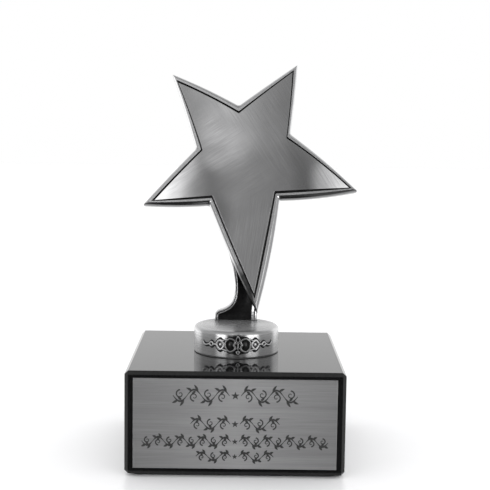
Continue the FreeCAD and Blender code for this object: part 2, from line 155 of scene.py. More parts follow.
class Nodes:
    """Short names for building one material's node tree."""

    def __init__(self, name, metallic=0.0, roughness=0.5):
        material = bpy.data.materials.new(name)
        material.use_nodes = True
        self.material = material
        self.tree = material.node_tree
        self.shader = self.tree.nodes["Principled BSDF"]
        self.shader.inputs["Metallic"].default_value = metallic
        self.shader.inputs["Roughness"].default_value = roughness
        self.place = self.tree.nodes.new("ShaderNodeTexCoord").outputs["Object"]

    def link(self, source, target):
        self.tree.links.new(source, target)

    def axes(self):
        """The X, Y and Z object coordinates."""
        node = self.tree.nodes.new("ShaderNodeSeparateXYZ")
        self.link(self.place, node.inputs[0])
        return node.outputs

    def mapped(self, scale, turn=(0.0, 0.0, 0.0)):
        """Object coordinates turned by degrees, then scaled."""
        spin = self.tree.nodes.new("ShaderNodeMapping")
        spin.vector_type = "TEXTURE"
        spin.inputs["Rotation"].default_value = [math.radians(a) for a in turn]
        self.link(self.place, spin.inputs["Vector"])
        node = self.tree.nodes.new("ShaderNodeMapping")
        node.inputs["Scale"].default_value = scale
        self.link(spin.outputs["Vector"], node.inputs["Vector"])
        return node.outputs["Vector"]

    def noise(self, scale, turn=(0.0, 0.0, 0.0), detail=2.0, roughness=0.5):
        node = self.tree.nodes.new("ShaderNodeTexNoise")
        node.inputs["Scale"].default_value = 1.0
        node.inputs["Detail"].default_value = detail
        node.inputs["Roughness"].default_value = roughness
        self.link(self.mapped(scale, turn), node.inputs["Vector"])
        return node.outputs["Fac"]

    def remap(self, source, low, high, from_low=0.3, from_high=0.7):
        node = self.tree.nodes.new("ShaderNodeMapRange")
        node.inputs["From Min"].default_value = from_low
        node.inputs["From Max"].default_value = from_high
        node.inputs["To Min"].default_value = low
        node.inputs["To Max"].default_value = high
        self.link(source, node.inputs["Value"])
        return node.outputs["Result"]

    def math(self, operation, a, b):
        node = self.tree.nodes.new("ShaderNodeMath")
        node.operation = operation
        for source, socket in ((a, node.inputs[0]), (b, node.inputs[1])):
            if isinstance(source, float):
                socket.default_value = source
            else:
                self.link(source, socket)
        return node.outputs["Value"]

    def mix(self, share, a, b):
        """Goes from value a to value b by a share between 0 and 1."""
        node = self.tree.nodes.new("ShaderNodeMix")
        self.link(share, node.inputs["Factor"])
        for source, socket in ((a, node.inputs["A"]), (b, node.inputs["B"])):
            if isinstance(source, float):
                socket.default_value = source
            else:
                self.link(source, socket)
        return node.outputs["Result"]

    def grey(self, value, warmth=0.0):
        """Sends a value to the base colour as a grey, a little warmer or cooler."""
        node = self.tree.nodes.new("ShaderNodeCombineColor")
        self.link(value, node.inputs["Red"])
        self.link(value, node.inputs["Green"])
        self.link(self.math("MULTIPLY", value, 1.0 - warmth), node.inputs["Blue"])
        self.link(node.outputs["Color"], self.shader.inputs["Base Color"])

    def roughness(self, value):
        self.link(value, self.shader.inputs["Roughness"])

    def bump(self, height, distance):
        node = self.tree.nodes.new("ShaderNodeBump")
        node.inputs["Distance"].default_value = distance
        self.link(height, node.inputs["Height"])
        self.link(node.outputs["Normal"], self.shader.inputs["Normal"])

    def creases(self, reach):
        """0 in creases and narrow corners, 1 on open surfaces."""
        node = self.tree.nodes.new("ShaderNodeAmbientOcclusion")
        node.samples = 6
        node.inputs["Distance"].default_value = reach
        return node.outputs["AO"]


def polished_silver(name, grey, dark, roughness, reach):
    """Antique silver: worn bright where it is open, dark patina in the creases."""
    m = Nodes(name, 1.0)
    cloud = m.noise((220.0, 220.0, 220.0), detail=4.0)
    wear = m.math("MULTIPLY", m.math("SUBTRACT", cloud, 0.5), 0.5)
    open_share = m.remap(m.math("ADD", m.creases(reach), wear), 0.0, 1.0, 0.35, 0.85)
    tone = m.mix(open_share, dark, m.remap(cloud, grey * 0.93, grey * 1.05))
    m.grey(tone, -0.012)
    grain = m.noise((1500.0, 1500.0, 1500.0), detail=2.0)
    m.roughness(m.mix(open_share, 0.5, m.remap(grain, roughness * 0.85, roughness * 1.2)))
    m.bump(grain, 0.000006)
    return m.material


def brushed_star():
    """Satin metal brushed by hand in three directions, with buffed areas."""
    m = Nodes("star_face_metal", 1.0)
    rising = m.noise((90.0, 90.0, 3600.0), (0.0, -32.0, 0.0), 4.0, 0.6)
    falling = m.noise((80.0, 80.0, 3400.0), (0.0, 56.0, 0.0), 4.0, 0.6)
    upright = m.noise((3400.0, 90.0, 80.0), (0.0, 8.0, 0.0), 4.0, 0.6)
    areas = m.noise((34.0, 34.0, 34.0), detail=1.0)
    axes = m.axes()
    wander = m.math("MULTIPLY", m.math("SUBTRACT", areas, 0.5), 0.06)
    diagonal = m.math("ADD", axes["X"], m.math("MULTIPLY", axes["Z"], 0.7))
    slope = m.math("ADD", diagonal, wander)
    to_right = m.remap(slope, 0.0, 1.0, 0.092, 0.112)
    low_arm = m.remap(m.math("ADD", axes["Z"], wander), 1.0, 0.0, 0.108, 0.128)
    strokes = m.mix(low_arm, m.mix(to_right, rising, falling), upright)
    patches = m.noise((26.0, 26.0, 60.0), (0.0, -25.0, 0.0), 2.0)
    tone = m.math("MULTIPLY", m.remap(strokes, 0.35, 0.45), m.remap(patches, 0.92, 1.06))
    m.grey(tone, -0.01)
    m.roughness(m.math("MULTIPLY", m.remap(strokes, 0.11, 0.085), m.remap(patches, 1.25, 0.9)))
    m.bump(m.math("ADD", m.math("MULTIPLY", strokes, 0.75), m.math("MULTIPLY", areas, 110.0)), 0.0000028)
    return m.material


def turned_silver():
    """Satin metal with fine turning marks round the drum's axis, and a duller top."""
    m = Nodes("drum_silver", 1.0)
    axes = m.axes()
    join = m.tree.nodes.new("ShaderNodeCombineXYZ")
    m.link(axes["X"], join.inputs["X"])
    m.link(axes["Y"], join.inputs["Y"])
    radius = m.tree.nodes.new("ShaderNodeVectorMath")
    radius.operation = "LENGTH"
    m.link(join.outputs[0], radius.inputs[0])
    rings = m.tree.nodes.new("ShaderNodeTexNoise")
    rings.noise_dimensions = "2D"
    rings.inputs["Scale"].default_value = 1.0
    rings.inputs["Detail"].default_value = 3.0
    across = m.tree.nodes.new("ShaderNodeCombineXYZ")
    m.link(m.math("MULTIPLY", radius.outputs["Value"], 3000.0), across.inputs["X"])
    m.link(m.math("MULTIPLY", axes["Z"], 3000.0), across.inputs["Y"])
    m.link(across.outputs[0], rings.inputs["Vector"])
    cloud = m.noise((120.0, 120.0, 120.0), detail=3.0)
    on_top = m.remap(radius.outputs["Value"], 1.0, 0.0, 0.0165, 0.0195)
    side_tone = m.math("MULTIPLY", m.remap(rings.outputs["Fac"], 0.42, 0.5), m.remap(cloud, 0.94, 1.06))
    m.grey(m.mix(on_top, side_tone, m.remap(cloud, 0.33, 0.36)), -0.01)
    m.roughness(m.mix(on_top, m.remap(rings.outputs["Fac"], 0.31, 0.25), m.remap(cloud, 0.24, 0.28)))
    # the marks run round the axis, so highlights spread up and down
    m.shader.inputs["Anisotropic"].default_value = 0.85
    m.shader.inputs["Anisotropic Rotation"].default_value = 0.25
    m.link(m.remap(on_top, 1.0, 0.45, 0.0, 1.0), m.shader.inputs["Metallic"])
    m.bump(rings.outputs["Fac"], 0.0000015)
    return m.material


def brushed_plate():
    """Aluminium plate brushed along its length, with painted shade darkening it towards its ends."""
    m = Nodes("plate_metal", 0.85)
    fine = m.noise((40.0, 60.0, 4200.0), detail=3.0, roughness=0.65)
    broad = m.noise((9.0, 60.0, 330.0), detail=3.0)
    axes = m.axes()
    to_ends = m.math("ABSOLUTE", axes["X"], 0.0)
    # painted shade: the tone falls from the middle towards the ends, as light falls off along the plate
    shade = m.math("MULTIPLY", m.remap(broad, 0.88, 1.07), m.remap(to_ends, 1.1, 0.74, 0.0, 0.046))
    m.grey(m.math("MULTIPLY", m.remap(fine, 0.34, 0.42), shade), -0.012)
    m.roughness(m.remap(fine, 0.56, 0.46))
    m.shader.inputs["Anisotropic"].default_value = 0.7
    m.bump(fine, 0.00001)
    return m.material


def polished_stone():
    """Black stone, polished, with faint grey grains and dust-fine wear."""
    m = Nodes("black_stone", 0.0)
    grains = m.noise((900.0, 900.0, 900.0), detail=3.0, roughness=0.7)
    haze = m.noise((28.0, 28.0, 28.0), detail=5.0, roughness=0.6)
    m.grey(m.math("ADD", m.remap(grains, 0.003, 0.009), m.remap(haze, 0.0, 0.003)), -0.03)
    m.roughness(m.math("ADD", m.remap(haze, 0.045, 0.085), m.remap(grains, 0.0, 0.03)))
    m.shader.inputs["IOR"].default_value = 1.52
    m.bump(m.math("ADD", grains, m.math("MULTIPLY", haze, 4.0)), 0.000003)
    return m.material


def grained(name, low, high, metallic, rough_low, rough_high, scale, depth, shine=0.5):
    """A plain material with a fine random grain in its tone, roughness and surface."""
    m = Nodes(name, metallic)
    grain = m.noise((scale, scale, scale), detail=4.0, roughness=0.6)
    m.grey(m.remap(grain, low, high), -0.01)
    m.roughness(m.remap(grain, rough_high, rough_low))
    m.shader.inputs["Specular IOR Level"].default_value = shine
    m.bump(grain, depth)
    return m.material


def woven_felt():
    """Black felt of crossed fibres."""
    m = Nodes("felt", 0.0)
    fibres = m.noise((1800.0, 500.0, 500.0), (0.0, 0.0, 35.0), 4.0, 0.7)
    crossed = m.noise((500.0, 1800.0, 500.0), (0.0, 0.0, 20.0), 4.0, 0.7)
    nap = m.math("MAXIMUM", fibres, crossed)
    m.grey(m.remap(nap, 0.012, 0.045, 0.4, 0.75), -0.05)
    m.roughness(m.remap(nap, 1.0, 0.85))
    m.shader.inputs["Sheen Weight"].default_value = 0.3
    m.bump(nap, 0.0002)
    return m.material


def rim_darker_lower_left():
    """The star's rim: antique silver, darker on the left side of its lower arm."""
    m = Nodes("rim_silver", 1.0)
    axes = m.axes()
    x, z = axes["X"], axes["Z"]
    cloud = m.noise((220.0, 220.0, 220.0), detail=4.0)
    # grows to the right, and is about 0.018 on the lower arm's middle line
    beside = m.math("ADD", x, m.math("MULTIPLY", z, 0.1218))
    left = m.remap(beside, 1.0, 0.0, 0.0166, 0.0184)
    low = m.remap(m.math("ADD", z, m.math("MULTIPLY", cloud, 0.006)), 1.0, 0.0, 0.088, 0.097)
    # darkens the rim low on the left of its lower arm, near the stem
    darker_lower_left = m.math("MULTIPLY", left, low)
    open_share = m.remap(m.creases(0.0012), 0.0, 1.0, 0.3, 0.8)
    tone = m.mix(open_share, 0.08, m.remap(cloud, 0.44, 0.5))
    m.grey(m.mix(darker_lower_left, tone, m.remap(cloud, 0.03, 0.09)), -0.012)
    grain = m.noise((1500.0, 1500.0, 1500.0))
    m.roughness(m.mix(darker_lower_left, m.remap(grain, 0.17, 0.24), m.remap(grain, 0.3, 0.4)))
    m.bump(grain, 0.000005)
    return m.material


cast_silver = polished_silver("cast_silver", 0.5, 0.1, 0.2, 0.0012)
rim_silver = rim_darker_lower_left()
# a darker silver for the wires in the ornament's middle: patina, and painted dark reflection
darker_silver = polished_silver("darker_silver", 0.34, 0.05, 0.32, 0.0009)
# patina in grooves and recesses; under the ornament it also serves as painted dark reflection
patina = grained("dark_patina_and_painted_reflection", 0.003, 0.012, 0.1, 0.4, 0.6, 900.0, 0.00001, 0.2)
star_face_metal = brushed_star()
drum_silver = turned_silver()
filigree_silver = polished_silver("filigree_silver", 0.62, 0.06, 0.38, 0.0007)
dark_bead = grained("dark_bead", 0.03, 0.08, 0.9, 0.3, 0.45, 1400.0, 0.00001)
black_stone = polished_stone()
plate_metal = brushed_plate()
engraving_fill = grained("engraving_fill", 0.025, 0.05, 0.0, 0.5, 0.7, 2500.0, 0.00001)
zinc = grained("zinc", 0.48, 0.62, 1.0, 0.25, 0.42, 700.0, 0.00001)
rubber = grained("gasket_rubber", 0.14, 0.22, 0.0, 0.6, 0.8, 1500.0, 0.00002)
film = grained("adhesive_film", 0.62, 0.74, 0.0, 0.4, 0.6, 400.0, 0.00001)
felt = woven_felt()


# Star


def outline_point(share, index):
    """A corner of the star, at 0 on the face's outline and at 1 on the rim's."""
    (fx, fu), (rx, ru) = FACE_POINTS[index], RIM_POINTS[index]
    return Vector((fx + share * (rx - fx), fu + share * (ru - fu)))


def star_outline(share, corner):
    """Points of one outline: bowed edges, with notches rounded over corner mm and tips over less."""
    corners = [outline_point(share, i) for i in range(10)]
    points = []
    edges = []
    for i, (face_bow, rim_bow) in enumerate(zip(FACE_BOWS, RIM_BOWS)):
        a, b = corners[i], corners[(i + 1) % 10]
        run = b - a
        out = Vector((-run.y, run.x)).normalized()
        bow = face_bow + share * (rim_bow - face_bow)
        cuts = []
        for end in (i, i + 1):
            rounding = TIP_ROUNDING if end % 2 == 0 else 1.0
            cuts.append(min(LONGEST_CUT, rounding * corner / run.length))

        def at(t, a=a, run=run, out=out, bow=bow):
            return a + run * t + out * (4.0 * bow * t * (1.0 - t))

        edges.append((at, cuts))
    for i in range(10):
        before, (_, before_cut) = edges[i - 1]
        after, (after_cut, far_cut) = edges[i]
        p0, p1, p2 = before(1.0 - before_cut), corners[i], after(after_cut)
        for k in range(CORNER_STEPS):
            t = k / CORNER_STEPS
            points.append(p0 * (1 - t) ** 2 + p1 * 2 * t * (1 - t) + p2 * t * t)
        for k in range(EDGE_STEPS):
            t = after_cut + (1.0 - after_cut - far_cut) * k / EDGE_STEPS
            points.append(after(t))
    return points


def lean(across, up, depth):
    """A star point in mm before it is shifted to its place in the frame."""
    c, s = math.cos(STAR_LEAN), math.sin(STAR_LEAN)
    return (across, up * s + depth * c, up * c - depth * s)


def face_depth(x, u):
    """Depth of the domed face behind the rim's front plane."""
    dx, du = x - STAR_CENTRE[0], u - STAR_CENTRE[1]
    return -0.9 + dx * dx / 1700.0 + du * du / 5000.0


RIM_SECTION = [
    # depth, share, corner length, material (0 silver, 1 patina) of the band that follows
    (1.5, -0.12, 0.3, 1), (1.5, 0.0, 0.4, 1), (0.5, 0.02, 0.4, 1), (0.1, 0.05, 0.4, 1),
    (0.0, 0.08, 0.5, 1), (0.0, 0.10, 0.5, 0), (0.0, 0.42, 0.7, 0), (0.0, 0.445, 0.8, 0),
    (0.03, 0.47, 0.8, 0), (0.12, 0.51, 0.9, 0), (0.5, 0.66, 1.0, 0), (0.95, 0.79, 1.1, 0),
    (1.45, 0.88, 1.2, 0), (2.1, 0.94, 1.3, 0), (2.9, 0.98, 1.4, 0), (3.8, 1.0, 1.5, 0), (4.4, 1.0, 1.5, 0),
    (6.2, 0.965, 1.4, 0), (7.4, 0.92, 1.3, 0), (7.9, 0.87, 1.2, 0), (8.0, 0.82, 1.1, 0),
    (8.0, 0.78, 1.1, 0), (8.0, 0.4, 0.8, 0), (8.0, 0.0, 0.6, 0),
]


def make_star_casting():
    """The star with its rim, from outlines at each depth of the rim's section."""
    verts, faces, mats = [], [], []
    count = 10 * (EDGE_STEPS + CORNER_STEPS)
    for depth, share, corner, mat in RIM_SECTION:
        verts += [lean(p.x, p.y, depth) for p in star_outline(share, corner)]
    for i, section in enumerate(RIM_SECTION[:-1]):
        band = ring_faces(i * count, (i + 1) * count, count)
        faces += band
        mats += [section[3]] * len(band)
    for start, depth in ((0, RIM_SECTION[0][0]), (len(verts) - count, RIM_SECTION[-1][0])):
        centre = len(verts)
        verts.append(lean(*STAR_CENTRE, depth))
        faces += [(start + i, start + (i + 1) % count, centre) for i in range(count)]
        mats += [0] * count
    return mesh_object("star_casting", verts, faces, [rim_silver, patina], mats)


# The face's own outline, wall and back
FACE_EDGE_SHARE = -0.26
FACE_WALL_SHARE = -0.22
FACE_CORNER = 0.4
FACE_BEVEL = 0.12
FACE_BACK_DEPTH = 1.45
FACE_RINGS = [1.0, 0.997, 0.99, 0.97, 0.94, 0.9, 0.84, 0.77, 0.69, 0.6, 0.5, 0.4, 0.3, 0.2, 0.1]


def make_star_face():
    """The domed face, from rings that shrink towards its middle."""
    verts, faces = [], []
    count = 10 * (EDGE_STEPS + CORNER_STEPS)
    wall = star_outline(FACE_WALL_SHARE, FACE_CORNER)
    verts += [lean(p.x, p.y, FACE_BACK_DEPTH) for p in wall]
    verts += [lean(p.x, p.y, face_depth(p.x, p.y) + FACE_BEVEL) for p in wall]
    edge = star_outline(FACE_EDGE_SHARE, FACE_CORNER)
    centre = Vector(STAR_CENTRE)
    for ring in FACE_RINGS:
        for p in edge:
            q = centre + (p - centre) * ring
            verts.append(lean(q.x, q.y, face_depth(q.x, q.y)))
    rings = len(verts) // count
    for i in range(rings - 1):
        faces += ring_faces(i * count, (i + 1) * count, count)
    for start, depth in ((0, FACE_BACK_DEPTH), ((rings - 1) * count, face_depth(*STAR_CENTRE))):
        middle = len(verts)
        verts.append(lean(*STAR_CENTRE, depth))
        faces += [(start + i, start + (i + 1) % count, middle) for i in range(count)]
    return mesh_object("star_face", verts, faces, [star_face_metal])


star_casting = make_star_casting()
star_shift = place_at(star_casting, "star_body")
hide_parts("star_body")
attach(star_casting, "root")

star_face = make_star_face()
star_face.data.transform(Matrix.Translation(star_shift))
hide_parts("star_face_plate")
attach(star_face, "root")

# Stem


DRUM_LOW, DRUM_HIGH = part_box("drum")
DRUM_BOTTOM, DRUM_TOP = DRUM_LOW.z / MM, DRUM_HIGH.z / MM
STEM_LEFT = [
    (-10.6, DRUM_TOP), (-10.6, 63.0), (-10.3, 64.7), (-8.9, 66.1), (-6.2, 67.1), (-3.3, 68.9), (-1.55, 71.9),
    (-0.8, 76.8), (-1.1, 82.5), (-3.0, 91.0), (-8.7, 107.0), (-13.0, 118.0),
]
STEM_RIGHT = [(10.5, DRUM_TOP), (10.5, 66.0), (16.5, 114.0)]
STEM_CROWN = (3.0, 125.0)
CROWN_STEPS = 9
CROWN_TURN = 88.0
STEM_FRONT_Y = 9.5
STEM_BACK_Y = 15.5
TONGUE_THICKNESS = 4.0
STAR_FRONT_Y = -2.5
STAR_FRONT_Z = 67.0
BEND_BLEND = 0.8
# The tongue's back is lowered, so that the screws' heads stand 0.01 to 0.04 mm clear of it
TONGUE_LOWERING = 0.12
LOWERING_START_Z = 85.0
LOWERING_RUN = 8.0
RECESS_DEPTH = 1.3
RECESS_TOP_Z = 87.0
RECESS_RUN_OUT = 3.0
# Width under which the edges' sections are squeezed
FULL_WIDTH = 8.0
# Sections across the edges: (distance in from the outline, depth behind the front)
LEFT_BEADS = [
    (1.85, RECESS_DEPTH), (1.8, 0.8), (1.62, 0.34), (1.34, 0.16), (1.08, 0.3), (0.94, 0.7),
    (0.8, 0.36), (0.54, 0.06), (0.28, 0.14), (0.08, 0.45), (0.0, 1.0),
]
RIGHT_BEADS = [
    (3.05, RECESS_DEPTH), (2.98, 0.4), (2.88, 0.24), (1.4, 0.03), (1.1, 0.0), (0.6, 0.12), (0.2, 0.45),
    (0.0, 1.2),
]
# How far in from the outline the sections flatten out above the recess
RECESS_SECTION_START = 0.5
# The bands of the left section that are the groove between its beads
GROOVE_BANDS = (4, 5)
# At the back: (distance in from the outline, depth behind the back)
BACK_EDGE = [(0.0, -1.2), (0.15, -0.6), (0.6, -0.15), (1.3, 0.0)]


def spline_point(p0, p1, p2, p3, t):
    """A point between p1 and p2 on a Catmull-Rom curve."""
    squared = (2 * p0 - 5 * p1 + 4 * p2 - p3) * t * t
    cubed = (3 * p1 - p0 - 3 * p2 + p3) * t ** 3
    return 0.5 * (2 * p1 + (p2 - p0) * t + squared + cubed)


def smooth_path(points, steps):
    """An open smooth curve through 2-D points."""
    result = []
    last = len(points) - 1
    for i in range(last):
        p0, p1 = Vector(points[max(0, i - 1)]), Vector(points[i])
        p2, p3 = Vector(points[i + 1]), Vector(points[min(last, i + 2)])
        result += [spline_point(p0, p1, p2, p3, k / steps) for k in range(steps)]
    result.append(Vector(points[-1]))
    return result


def right_side(z):
    """Where the stem's right side is at a height, mm."""
    for (x0, z0), (x1, z1) in zip(STEM_RIGHT, STEM_RIGHT[1:]):
        if z <= z1 or (x1, z1) == STEM_RIGHT[-1]:
            return x0 + (x1 - x0) * max(0.0, z - z0) / (z1 - z0)


def star_back_y(z):
    """Where the star's back is at a height, mm."""
    through = STAR_THICKNESS / math.cos(STAR_LEAN)
    return STAR_FRONT_Y + through + (z - STAR_FRONT_Z) * math.tan(STAR_LEAN)


def stem_front_y(z):
    """The stem's front: upright at the foot, then on the star's back."""
    return max(STEM_FRONT_Y, star_back_y(z))


def stem_back_y(z):
    """The stem's back: upright at the foot, then along the star's lean."""
    tongue = star_back_y(z) + TONGUE_THICKNESS / math.cos(STAR_LEAN)
    lowering = TONGUE_LOWERING * min(1.0, max(0.0, (z - LOWERING_START_Z) / LOWERING_RUN))
    bend = BEND_BLEND * math.log1p(math.exp((tongue - STEM_BACK_Y) / BEND_BLEND))
    return STEM_BACK_Y + bend - lowering


def inward(path, i, sign):
    """Unit normal of a path towards the stem's middle."""
    run = path[min(i + 1, len(path) - 1)] - path[max(i - 1, 0)]
    side = Vector((run.y, -run.x)).normalized()
    return side if side.x * sign > 0 or abs(side.x) < 1e-6 else -side


def stem_row(left, right, left_in, right_in):
    """One level of the stem, from its left and right outline points and their inward normals."""
    open_recess = min(1.0, max(0.0, (RECESS_TOP_Z - left.y) / RECESS_RUN_OUT))
    squeeze = min(1.0, (right.x - left.x) / FULL_WIDTH)
    row = []

    def edge(start, inward_way, section, surface):
        for d, h in section:
            p = start + inward_way * d * squeeze
            sunk = open_recess if surface is stem_front_y and d > RECESS_SECTION_START else 1.0
            row.append((p.x, surface(p.y) + h * sunk, max(p.y, DRUM_TOP)))

    edge(left, left_in, LEFT_BEADS, stem_front_y)
    edge(left, left_in, BACK_EDGE, stem_back_y)
    edge(right, right_in, BACK_EDGE[::-1], stem_back_y)
    edge(right, right_in, RIGHT_BEADS[::-1], stem_front_y)
    return row


def make_stem():
    """The stem from its foot to the round top behind the star."""
    left = smooth_path(STEM_LEFT, 10)
    right = [Vector((right_side(p.y), p.y)) for p in left]
    crown = Vector(STEM_CROWN)
    left_start, right_start = left[-1].copy(), right[-1].copy()
    for k in range(1, CROWN_STEPS + 1):
        turn = math.radians(CROWN_TURN * k / CROWN_STEPS)
        for path, start in ((left, left_start), (right, right_start)):
            x = crown.x + (start.x - crown.x) * math.cos(turn)
            z = start.y + (crown.y - start.y) * math.sin(turn)
            path.append(Vector((x, z)))
    verts, faces, mats = [], [], []
    count = len(LEFT_BEADS) + len(RIGHT_BEADS) + 2 * len(BACK_EDGE)
    rings = len(left)
    for i in range(rings):
        verts += stem_row(left[i], right[i], inward(left, i, 1.0), inward(right, i, -1.0))
    # the groove between the left beads and the recess's floor are patina
    dark_bands = (*GROOVE_BANDS, count - 1)
    for i in range(rings - 1):
        faces += ring_faces(i * count, (i + 1) * count, count)
        mats += [1 if k in dark_bands else 0 for k in range(count)]
    faces.append(tuple(range(count)))
    faces.append(tuple(range((rings - 1) * count, rings * count)))
    mats += [0, 0]
    return mesh_object("stem_casting", verts, faces, [cast_silver, patina], mats)


stem = make_stem()
place_at(stem, "stem")
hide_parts("stem")
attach(stem, "root")


# Nameplate


PLATE_LOW, PLATE_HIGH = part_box("nameplate")
ENGRAVING_PROUD = 0.02
# The plate's edge: (in from the outline, behind the front)
PLATE_EDGE = [(0.0, 0.22), (0.06, 0.08), (0.2, 0.0)]
# Rows down the plate: (below the top edge, width, height, waves to each side), mm
PLATE_ROWS = [(7.6, 56.0, 10.0, 4), (20.6, 40.0, 8.4, 3), (28.7, 84.0, 7.2, 8), (35.6, 35.0, 6.6, 3)]
# Leaves on each wave: (turn in radians, length over the row's height, start over the wave's length)
LEAVES = [(1.0, 0.34, -0.28), (0.5, 0.3, 0.16), (-0.75, 0.24, -0.1)]
# Shares of a row's height: the gap on each side of its middle, the vine's swing, a scroll's radius
ROW_GAP = 0.26
VINE_SWING = 0.27
SCROLL_SIZE = 0.2
SCROLL_TURNS = 1.2
# How much of its radius a scroll loses as it winds in
SCROLL_WIND = 0.86
# The small stars: the tips' radius as a share of the row's height, and the notches' of the tips'
STAR_TIPS = 0.2
STAR_NOTCHES = 0.42
LEAF_STEPS = 8
SCROLL_STEPS = 26
WAVE_STEPS = 16


def make_nameplate():
    """The plate with finely rounded front edges."""
    low, high = PLATE_LOW / MM, PLATE_HIGH / MM
    front = low.y + ENGRAVING_PROUD
    verts, faces = [], []
    rings = [(0.0, high.y)] + [(inset, front + behind) for inset, behind in PLATE_EDGE]
    for inset, y in rings:
        for x, z in ((low.x + inset, low.z + inset), (high.x - inset, low.z + inset),
                     (high.x - inset, high.z - inset), (low.x + inset, high.z - inset)):
            verts.append((x, y, z))
    for i in range(3):
        faces += ring_faces(4 * i, 4 * i + 4, 4)
    faces += [(3, 2, 1, 0), (12, 13, 14, 15)]
    return mesh_object("engraved_plate", verts, faces, [plate_metal], smooth=False)


def stroke(path, radii, y):
    """A flat pen stroke that widens and narrows along an (x, z) path."""
    verts, faces = [], []
    last = len(path) - 1
    for i, p in enumerate(path):
        run = (path[min(last, i + 1)] - path[max(0, i - 1)]).normalized()
        side = Vector((-run.y, run.x)) * radii[i]
        for q in (p + side, p - side):
            verts.append((q.x, y, q.y))
        verts.append((p.x, y + ENGRAVING_PROUD, p.y))
    for i in range(last):
        faces += ring_faces(3 * i, 3 * i + 3, 3)
    return verts, faces


def spiral(start, radius, turns, sign):
    """Points of a scroll that winds in from its outside."""
    points = []
    for k in range(SCROLL_STEPS + 1):
        t = k / SCROLL_STEPS
        turn = start + sign * 2 * math.pi * turns * t
        r = radius * (1.0 - SCROLL_WIND * t)
        points.append(Vector((r * math.cos(turn), r * math.sin(turn))))
    return points


def flourish_row(width, height, waves):
    """Strokes of one engraved vine, mirrored about the plate's middle, as (path, half widths)."""
    strokes = []
    half = width / 2.0
    gap = ROW_GAP * height
    step = (half - gap) / waves
    for side in (-1.0, 1.0):

        def place(x, z):
            return Vector((side * (gap + x), z))

        count = waves * WAVE_STEPS
        swing = VINE_SWING * height
        vine = [
            place(step * waves * k / count, swing * math.sin(math.pi * waves * k / count))
            for k in range(count + 1)
        ]
        swells = [abs(math.sin(math.pi * waves * k / count)) for k in range(count + 1)]
        strokes.append((vine, [0.14 + 0.3 * swell ** 1.5 for swell in swells]))
        for w in range(waves):
            flip = 1.0 if w % 2 == 0 else -1.0
            middle = step * (w + 0.5)
            curl = min(SCROLL_SIZE * height, 0.42 * step)
            scroll = spiral(-0.5 * math.pi * flip, curl, SCROLL_TURNS, flip)
            strokes.append((
                [place(middle + p.x, p.y - 0.06 * height * flip) for p in scroll],
                [0.34 - 0.2 * k / SCROLL_STEPS for k in range(SCROLL_STEPS + 1)],
            ))
            for turn, reach, start in LEAVES:
                leaf = []
                shares = [k / LEAF_STEPS for k in range(LEAF_STEPS + 1)]
                for t in shares:
                    leaf.append(place(
                        middle + start * step + height * reach * t * math.cos(turn),
                        flip * (0.2 * height + height * reach * (t * math.sin(turn) + 0.3 * t * (1 - t))),
                    ))
                strokes.append((leaf, [0.05 + 0.5 * math.sin(math.pi * t ** 0.75) for t in shares]))
    return strokes


def make_engraving():
    """Four engraved rows of vine, each with a small star in its middle."""
    verts, faces = [], []
    middle_x = (PLATE_LOW.x + PLATE_HIGH.x) / 2 / MM
    top = PLATE_HIGH.z / MM
    y = PLATE_LOW.y / MM

    def add(part):
        start = len(verts)
        verts.extend(part[0])
        faces.extend(tuple(start + i for i in face) for face in part[1])

    for down, width, height, waves in PLATE_ROWS:
        centre = Vector((middle_x, top - down))
        for path, radii in flourish_row(width, height, waves):
            add(stroke([centre + p for p in path], radii, y))
        size = STAR_TIPS * height
        points = []
        for k in range(10):
            turn = math.radians(90 + 36 * k)
            r = size if k % 2 == 0 else size * STAR_NOTCHES
            points.append((centre.x + r * math.cos(turn), y, centre.y + r * math.sin(turn)))
        points.append((centre.x, y, centre.y))
        add((points, [(k, (k + 1) % 10, 10) for k in range(10)]))
    return mesh_object("plate_engraving", verts, faces, [engraving_fill], smooth=False)


plate = make_nameplate()
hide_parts("nameplate")
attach(plate, "root")
engraving = make_engraving()
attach(engraving, "root")


# Drum and its ornament


DRUM_RADIUS = (DRUM_HIGH.x - DRUM_LOW.x) / 2 / MM
DRUM_EDGE_RADIUS = 1.9
DRUM_EDGE_STEPS = 9
DRUM_STEPS = 192
# Inside: the cavity, the boss in its middle and the stud's hole
CAVITY_RADIUS = 17.5
ROOF_THICKNESS = 3.0
BOSS_RADIUS = 6.0
STUD_HOLE_RADIUS = 3.05
STUD_HOLE_DEPTH = 8.3
AXIS_RADIUS = 0.01
ORNAMENT_TURN = math.radians(2.4)
ORNAMENT_Z = DRUM_BOTTOM + 6.2
# A wire's middle stands off the drum by the first, and its half thickness is the second
WIRE_STAND_OFF = 0.35
WIRE_RELIEF = 0.42
WIRE_SIDES = 10
# the dark backing under the ornament: patina, and round its middle also painted dark reflection
BACKING_RINGS = 6
BACKING_RELIEF = 0.05
# How far along the drum the middles of the cells are from the ornament's
BIG_PLACE = 3.5
MEDIUM_PLACE = 8.45
SMALL_PLACE = 13.1
# Where the middles of a diamond's sides are, as shares of its half width and half height
DIAMOND_SIDE = 0.62
# Beads: (along, half width, half height, height over the drum, material)
BEADS = [(3.4, 1.2, 1.7, 0.42, 1), (MEDIUM_PLACE, 0.98, 1.15, 0.5, 0)]


def lathe(name, profile, steps, materials):
    """A turned piece from (radius, z) points in mm."""
    verts, faces = [], []
    for radius, z in profile:
        for k in range(steps):
            turn = 2 * math.pi * k / steps
            verts.append((radius * math.sin(turn), -radius * math.cos(turn), z))
    for i in range(len(profile) - 1):
        faces += ring_faces(i * steps, (i + 1) * steps, steps)
    return mesh_object(name, verts, faces, materials)


